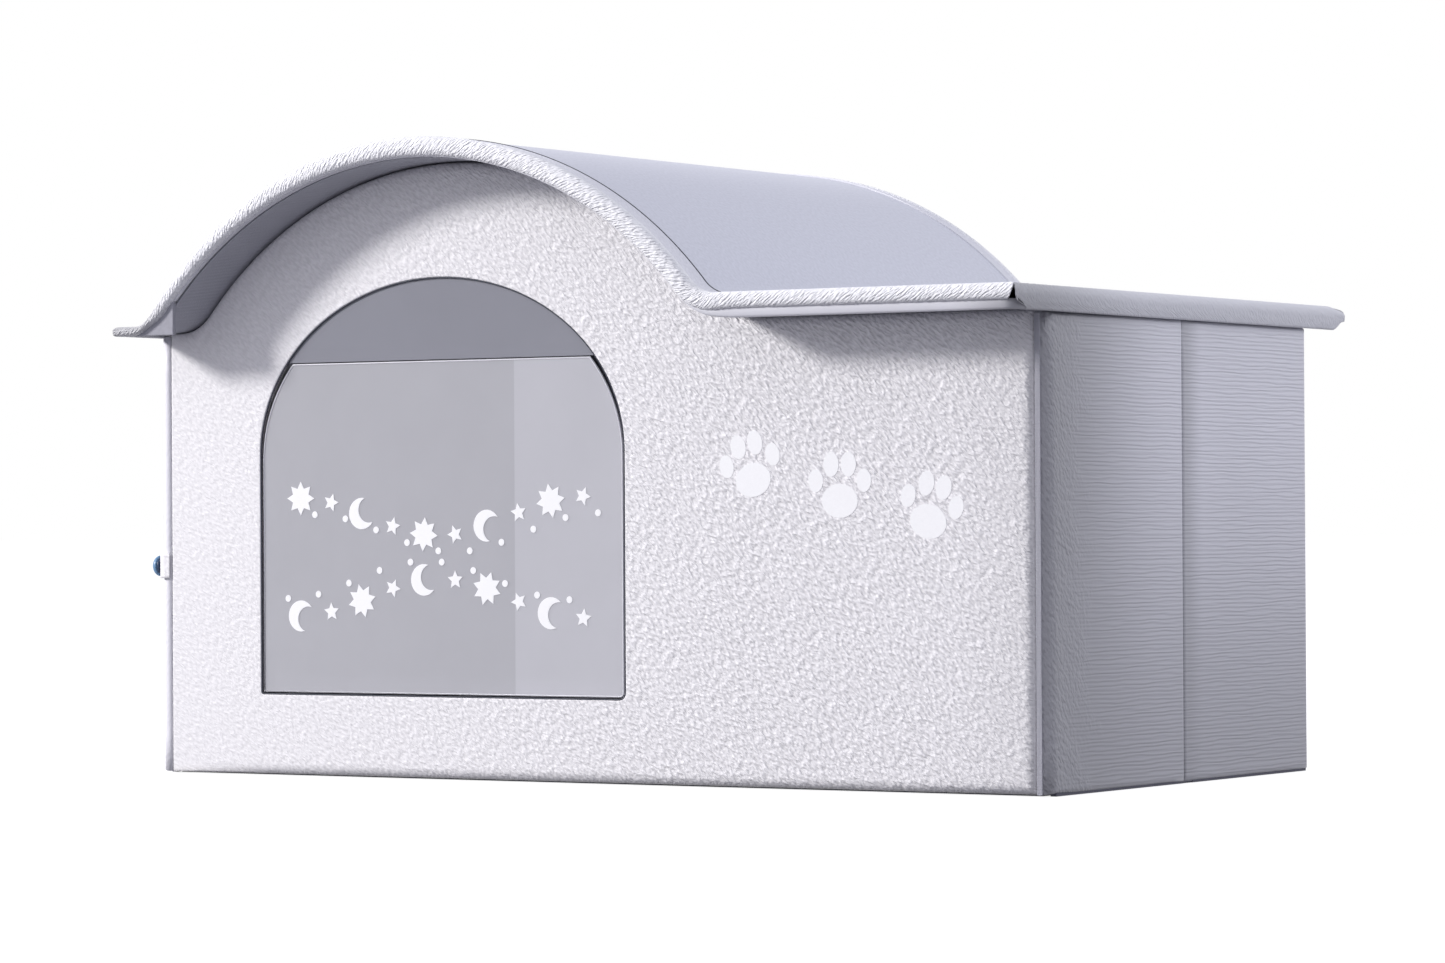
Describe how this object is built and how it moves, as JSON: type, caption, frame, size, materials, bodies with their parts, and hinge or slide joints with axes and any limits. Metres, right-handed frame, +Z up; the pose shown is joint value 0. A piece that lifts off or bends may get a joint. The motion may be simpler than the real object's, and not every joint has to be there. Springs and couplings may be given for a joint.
{
  "type": "folding pet house",
  "caption": "Folding pet house with leatherette walls on boards, an S-shaped lift-up roof, side walls that crease inwards, a clear swinging door film and a floor cushion.",
  "frame": {"origin": "on the floor, on the base cloth's underside, below the middle of the four walls", "axes": "+X to the right seen from the front, +Y to the rear wall, +Z up; the doorway faces -Y"},
  "size_m": [0.8372, 0.551, 0.5015],
  "materials": {
    "leatherette": "satin",
    "side_leatherette": "satin",
    "roof_sheet": "satin",
    "lining_cloth": "matte",
    "stiff_board": "matte",
    "tinted_film": "gloss",
    "hinge_tape": "matte",
    "hook_and_loop": "matte",
    "base_cloth": "matte",
    "cushion_cloth": "matte",
    "blue_cap": "gloss",
    "navy_base": "gloss",
    "stud_metal": "satin"
  },
  "bodies": {
    "rear_wall": {"rear_wall_cover": "leatherette", "rear_wall_board": "stiff_board", "rear_wall_lining": "lining_cloth", "base_cloth": "base_cloth", "floor_cushion": "cushion_cloth", "right_rear_corner_tape": "hinge_tape", "left_rear_corner_tape": "hinge_tape", "roof_hinge_tape": "hinge_tape"},
    "right_rear_leaf": {"right_rear_cover": "side_leatherette", "right_rear_board": "stiff_board", "right_rear_lining": "lining_cloth", "right_rear_hook_strip": "hook_and_loop", "right_crease_tape": "hinge_tape"},
    "right_front_leaf": {"right_front_cover": "side_leatherette", "right_front_board": "stiff_board", "right_front_lining": "lining_cloth", "right_front_hook_strip": "hook_and_loop"},
    "front_wall": {"front_wall_cover": "leatherette", "front_wall_board": "stiff_board", "front_wall_lining": "lining_cloth", "door_header": "tinted_film", "right_front_corner_tape": "hinge_tape", "left_front_corner_tape": "hinge_tape"},
    "left_rear_leaf": {"left_rear_cover": "side_leatherette", "left_rear_board": "stiff_board", "left_rear_lining": "lining_cloth", "left_rear_hook_strip": "hook_and_loop", "left_crease_tape": "hinge_tape"},
    "left_front_leaf": {"left_front_cover": "side_leatherette", "left_front_board": "stiff_board", "left_front_lining": "lining_cloth", "left_front_hook_strip": "hook_and_loop", "snap_stud": "stud_metal"},
    "roof": {"roof_lining": "lining_cloth", "roof_board": "stiff_board", "roof_top_cover": "roof_sheet", "roof_front_binding": "leatherette", "roof_rear_binding": "leatherette", "roof_left_binding": "leatherette", "roof_right_binding": "leatherette", "right_rear_loop_strip": "hook_and_loop", "right_front_loop_strip": "hook_and_loop", "left_rear_loop_strip": "hook_and_loop", "left_front_loop_strip": "hook_and_loop"},
    "door_flap": {"door_flap": "tinted_film", "door_hem_strip": "tinted_film"},
    "closure_tab": {"closure_tab": "leatherette", "snap_base": "navy_base", "snap_cap": "blue_cap"}
  },
  "joints": [
    {"name": "fold", "type": "hinge", "parent": "rear_wall", "child": "right_rear_leaf", "pos_m": [0.4, 0.205, 0], "axis": [0, 0, -1], "range_deg": [0, 80], "deforming": ["floor_cushion", "base_cloth", "right_rear_corner_tape", "door_flap", "door_hem_strip"]},
    {"name": "right_front_leaf_fold", "type": "hinge", "parent": "right_rear_leaf", "child": "right_front_leaf", "pos_m": [0.411, 0, 0], "axis": [0, 0, 1], "range_deg": [0, 160], "deforming": ["right_crease_tape"]},
    {"name": "front_wall_fold", "type": "hinge", "parent": "right_front_leaf", "child": "front_wall", "pos_m": [0.4, -0.205, 0], "axis": [0, 0, -1], "range_deg": [0, 80], "deforming": ["right_front_corner_tape"]},
    {"name": "left_rear_leaf_fold", "type": "hinge", "parent": "rear_wall", "child": "left_rear_leaf", "pos_m": [-0.4, 0.205, 0], "axis": [0, 0, 1], "range_deg": [0, 80], "deforming": ["left_rear_corner_tape"]},
    {"name": "left_front_leaf_fold", "type": "hinge", "parent": "left_rear_leaf", "child": "left_front_leaf", "pos_m": [-0.411, 0, 0], "axis": [0, 0, -1], "range_deg": [0, 160], "deforming": ["left_crease_tape", "left_front_corner_tape"]},
    {"name": "roof_lift", "type": "hinge", "parent": "rear_wall", "child": "roof", "pos_m": [0, 0.2175, 0.357], "axis": [-1, 0, 0], "range_deg": [0, 90], "deforming": ["roof_hinge_tape"]},
    {"name": "door_swing", "type": "hinge", "parent": "front_wall", "child": "door_flap", "pos_m": [-0.133, -0.214, 0.33], "axis": [-1, 0, 0], "range_deg": [-60, 60]},
    {"name": "tab_swing", "type": "hinge", "parent": "left_front_leaf", "child": "closure_tab", "pos_m": [-0.4008, -0.2169, 0.168], "axis": [0, 0, 1], "range_deg": [0, 95]}
  ],
  "couplings": [
    {"joint": "right_front_leaf_fold", "follows": "fold", "ratio": 2},
    {"joint": "front_wall_fold", "follows": "fold", "ratio": 1},
    {"joint": "left_rear_leaf_fold", "follows": "fold", "ratio": 1},
    {"joint": "left_front_leaf_fold", "follows": "fold", "ratio": 2}
  ]
}
